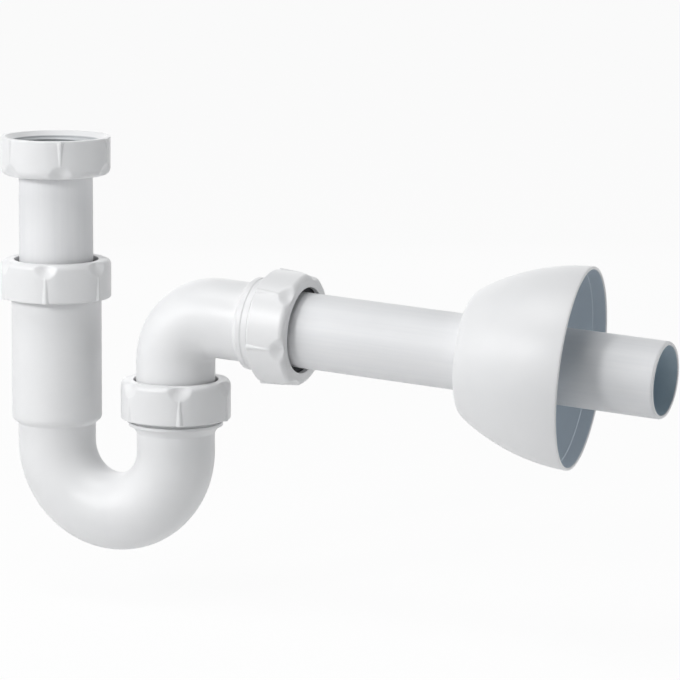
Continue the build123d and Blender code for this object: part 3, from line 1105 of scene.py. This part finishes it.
@dataclass
class WallFlange:
    """Thin bell that hides the hole in the wall, hung loosely on the pipe."""

    library: MaterialLibrary
    depth: float = 61.0
    mouth_r: float = 52.98
    side_r: float = 108.0
    side_tilt: float = 1.86
    shoulder_r: float = 8.6
    wall: float = 2.0
    lip_wall: float = 1.6
    lip_depth: float = 7.5
    hole_r: float = 20.8

    def spindle(self) -> Spindle:
        """Axis of the bell, leaning sideways and drooping a little from the pipe's axis.

        Returns:
            The guide, from the back outwards.
        """
        droop, lean = math.radians(-TRAP.bell_droop), math.radians(-TRAP.bell_lean)
        front, axis = np.array(FRONT), TRAP.outlet_axis
        base = np.stack([front, np.cross(axis, front), axis], axis=1)
        cos, sin = math.cos(droop), math.sin(droop)
        about_x = np.array([[1, 0, 0], [0, cos, -sin], [0, sin, cos]])
        cos, sin = math.cos(lean), math.sin(lean)
        about_y = np.array([[cos, 0, sin], [0, 1, 0], [-sin, 0, cos]])
        turned = base @ about_x @ about_y
        back = tuple(TRAP.on_outlet(TRAP.bell_back))
        return Spindle(back, tuple(turned[:, 2]), tuple(turned[:, 0]))

    def side(self, wall: float, end: float, count: int) -> Array:
        """Side of the bell in section: a small shoulder arc and a large side arc that touch.

        Args:
            wall: How far inside the outer face.
            end: Depth at which the side stops.
            count: Points on the large arc.

        Returns:
            Points (s, r) from the back to the end.
        """
        tilt = math.radians(self.side_tilt)
        way = np.array([math.sin(tilt), -math.cos(tilt)])
        big = np.array([self.depth, self.mouth_r]) + self.side_r * way
        apart, rise = self.side_r - self.shoulder_r, big[0] - self.shoulder_r
        small = np.array([self.shoulder_r, big[1] + math.sqrt(apart**2 - rise**2)])
        touch = math.atan2(small[1] - big[1], small[0] - big[0])
        last = math.acos((end - big[0]) / (self.side_r - wall))
        a = np.linspace(math.pi, touch, 14)[:, None]
        b = np.linspace(touch, last, count)[1:, None]
        around_small = small + (self.shoulder_r - wall) * np.hstack([np.cos(a), np.sin(a)])
        around_big = big + (self.side_r - wall) * np.hstack([np.cos(b), np.sin(b)])
        return np.vstack([around_small, around_big])

    def section(self) -> Section:
        """Whole outline of the bell's wall: rounded lip, thinner band inside it and back hole.

        The lip is half an ellipse, and the band ends in a small step.

        Returns:
            The section.
        """
        lip = self.lip_wall / 2.0
        band_end = self.depth - self.lip_depth
        outer = self.side(0.0, self.depth - lip, 46)
        inner_lip = self.side(self.lip_wall, self.depth - lip, 46)[::-1]
        inner = self.side(self.wall, band_end, 40)[::-1]
        step = self.side(self.lip_wall, band_end + 0.1, 40)[-1]
        hold = self.side(self.lip_wall, band_end + 0.3, 40)[-1]
        band = np.vstack([inner_lip[inner_lip[:, 0] > hold[0] + 0.3], hold, step])
        edge = self.side(self.wall, band_end - 0.2, 40)[-1]
        inner = np.vstack([inner[:1], edge, inner[inner[:, 0] < edge[0] - 0.3]])
        middle = (outer[-1] + inner_lip[0]) / 2.0
        t = np.linspace(0.0, math.pi, 9)[1:-1, None]
        cap = middle + np.hstack([lip * np.sin(t), np.cos(t) * (outer[-1, 1] - middle[1])])
        out_r, in_r = float(outer[0, 1]), float(inner[-1, 1])
        w, h = self.wall, self.hole_r
        back = np.array([
            [w, in_r - 1.0], [w, h + 0.6], [w - 0.15, h + 0.1], [w - 0.5, h],
            [0.5, h], [0.15, h + 0.15], [0.0, h + 0.5], [0.0, h + 1.2],
        ])
        face = np.array([[0.0, out_r - 1.0], [0.0, out_r - 0.3]])
        parts = [outer, cap, band, inner, back, face]
        points = np.vstack(parts)
        runs = np.concatenate([np.full(len(p), float(k)) for k, p in enumerate(parts)])
        return Section(points[:, 0], points[:, 1], runs)

    def build(self) -> None:
        """Build and dress the bell."""
        section = self.section()
        # Painted shade on the inner band, the inner side and the inner face of the back around the
        # hole, where shade falls inside the bell.
        inner_back = (section.run == 4.0) & (section.s > self.wall - 0.6)
        painted_shade = ((section.run == 2.0) | (section.run == 3.0) | inner_back).astype(float)
        grid = carry(self.spindle(), section, around(256))
        piece = mesh_piece("wall_flange_skin", grid, painted_shade)
        dress(piece, "wall_flange", "wall_flange", FLANGE_WHITE, self.library)


# Studio


@dataclass(frozen=True)
class Lamp:
    """Soft lamp: degrees left of the camera's axis and above the floor, metres, watts."""

    name: str
    left: float
    up: float
    size: tuple[float, float]
    power: float
    away: float = 1.4


LAMPS = (
    Lamp("key", 72.0, 22.0, (0.6, 0.6), 5.0),
    Lamp("spot", 48.0, 25.0, (0.25, 0.25), 5.5),
    Lamp("top", 55.0, 70.0, (0.9, 0.5), 7.6),
    Lamp("side", -82.0, 15.0, (0.9, 0.9), 4.5),
    Lamp("back", 176.0, 16.0, (0.9, 0.9), 1.4),
)


@dataclass
class Studio:
    """Pale floor, soft light and the camera of the photograph."""

    azimuth: float = 24.512
    elevation: float = 9.243
    distance: float = 2023.574
    focal_px: float = 3854.488
    roll: float = 0.333
    target: Triple = (169.139, 0.0, -87.192)
    half_px: float = 340.0
    near: float = 0.05
    far: float = 60.0
    fill: float = 0.13
    fill_tint: Colour = (0.90, 0.96, 1.0)
    floor_half: float = 16.0
    floor_tint: Colour = (0.92, 0.92, 0.92)
    floor_white: float = 0.95

    def directions(self) -> tuple[Array, Array]:
        """Camera's right and backward directions, before its roll.

        Returns:
            Two unit vectors.
        """
        az, el = math.radians(self.azimuth), math.radians(self.elevation)
        right = np.array([math.cos(az), math.sin(az), 0.0])
        back = np.array([math.sin(az) * math.cos(el), -math.cos(az) * math.cos(el), math.sin(el)])
        return right, back

    def camera(self) -> None:
        """Place the camera with the photograph's viewing angle."""
        right, back = self.directions()
        up = np.cross(back, right)
        roll = math.radians(self.roll)
        cos, sin = math.cos(roll), math.sin(roll)
        axes = np.stack([right * cos + up * sin, up * cos - right * sin, back], axis=1)
        place = (np.array(self.target) + back * self.distance) * MM
        data = bpy.data.cameras.new("camera")
        data.sensor_fit = "HORIZONTAL"
        data.angle = 2.0 * math.atan(self.half_px / self.focal_px)
        data.clip_start, data.clip_end = self.near, self.far
        camera = bpy.data.objects.new("camera", data)
        rows = [[*row, p] for row, p in zip(axes, place)]
        camera.matrix_world = Matrix(rows + [[0, 0, 0, 1]])
        bpy.context.scene.collection.objects.link(camera)
        bpy.context.scene.camera = camera

    @staticmethod
    def seen(g: Graph) -> NodeSocket:
        """1 for a ray from the camera, a reflection or a clear piece, the largest of three, else 0."""
        rays = [g.add("LightPath").outputs[f"Is {kind} Ray"] for kind in SEEN_RAYS]
        return g.number("MAXIMUM", g.number("MAXIMUM", *rays[:2]), rays[2])

    def floor(self) -> None:
        """Plain pale floor that shows as white and keeps a light shadow."""
        mesh = bpy.data.meshes.new("floor")
        half, z = self.floor_half, TRAP.floor_z * MM
        corners = [(-half, -half, z), (half, -half, z), (half, half, z), (-half, half, z)]
        mesh.from_pydata(corners, [], [(0, 1, 2, 3)])
        floor = bpy.data.objects.new("floor", mesh)
        bpy.context.scene.collection.objects.link(floor)
        material = bpy.data.materials.new("floor_pale")
        g = Graph.fresh(material)
        paint = g.add("BsdfDiffuse", Color=(*self.floor_tint, 1.0)).outputs["BSDF"]
        white = g.add("Emission", Color=WHITE, Strength=1.0).outputs["Emission"]
        share = g.number("MULTIPLY", self.seen(g), self.floor_white)
        mix = g.add("MixShader", share, paint, white)
        g.add("OutputMaterial", Surface=mix.outputs["Shader"])
        mesh.materials.append(material)

    def world(self) -> None:
        """Even fill light, seen as white by the camera."""
        world = bpy.data.worlds.new("studio")
        g = Graph.fresh(world)
        tint = (*self.fill_tint, 1.0)
        fill = g.add("Background", Color=tint, Strength=self.fill).outputs["Background"]
        white = g.add("Background", Color=WHITE, Strength=1.0).outputs["Background"]
        mix = g.add("MixShader", self.seen(g), fill, white)
        g.add("OutputWorld", Surface=mix.outputs["Shader"])
        bpy.context.scene.world = world

    def lamp(self, lamp: Lamp) -> None:
        """Hang a lamp and aim it at the middle of the trap.

        Its way out is the level direction turned left by one angle and raised by the other.

        Args:
            lamp: Its place, size and power.
        """
        right, back = self.directions()
        level = np.array([back[0], back[1], 0.0])
        level = level / np.linalg.norm(level)
        a, e = math.radians(lamp.left), math.radians(lamp.up)
        flat = (level * math.cos(a) - right * math.sin(a)) * math.cos(e)
        way = flat + math.sin(e) * np.array(UP)
        data = bpy.data.lights.new(lamp.name, "AREA")
        data.shape = "RECTANGLE"
        data.size, data.size_y = lamp.size
        data.energy = lamp.power
        hung = bpy.data.objects.new(lamp.name, data)
        hung.location = Vector(np.array(self.target) * MM + way * lamp.away)
        hung.rotation_euler = Vector(way).to_track_quat("Z", "Y").to_euler()
        bpy.context.scene.collection.objects.link(hung)

    def build(self) -> None:
        """Set up floor, world, lamps, camera and colour view."""
        self.floor()
        self.world()
        for lamp in LAMPS:
            self.lamp(lamp)
        self.camera()
        bpy.context.scene.view_settings.view_transform = "Standard"
        LOG.info("studio: floor, world, %d lamps and camera", len(LAMPS))


def main() -> None:
    """Build every sub-assembly in order, then the studio."""
    logging.basicConfig(level=logging.INFO, format="%(message)s")
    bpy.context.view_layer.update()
    library = MaterialLibrary()
    InletUnion(library).build()
    TrapBend(library).build()
    CompressionJoint(
        library, "riser", (0.0, 0.0, TRAP.riser_mouth_z), UP, EAST,
        turn=-72.8, pipe_r=TRAP.pipe_r, socket_r=TRAP.pipe_socket,
    ).build()
    CompressionJoint(
        library, "bend", (TRAP.bend_centres, 0.0, TRAP.bend_mouth_z), UP, EAST,
        turn=-59.4, pipe_r=TRAP.spigot_r, socket_r=TRAP.bend_bore,
    ).build()
    OutletElbow(library).build()
    CompressionJoint(
        library, "elbow", tuple(TRAP.on_outlet(TRAP.elbow_mouth)), tuple(TRAP.outlet_axis), FRONT,
        turn=14.1, pipe_r=TRAP.pipe_r, socket_r=TRAP.pipe_socket,
    ).build()
    OutletPipe(library).build()
    WallFlange(library).build()
    Studio().build()


if __name__ == "__main__":
    main()
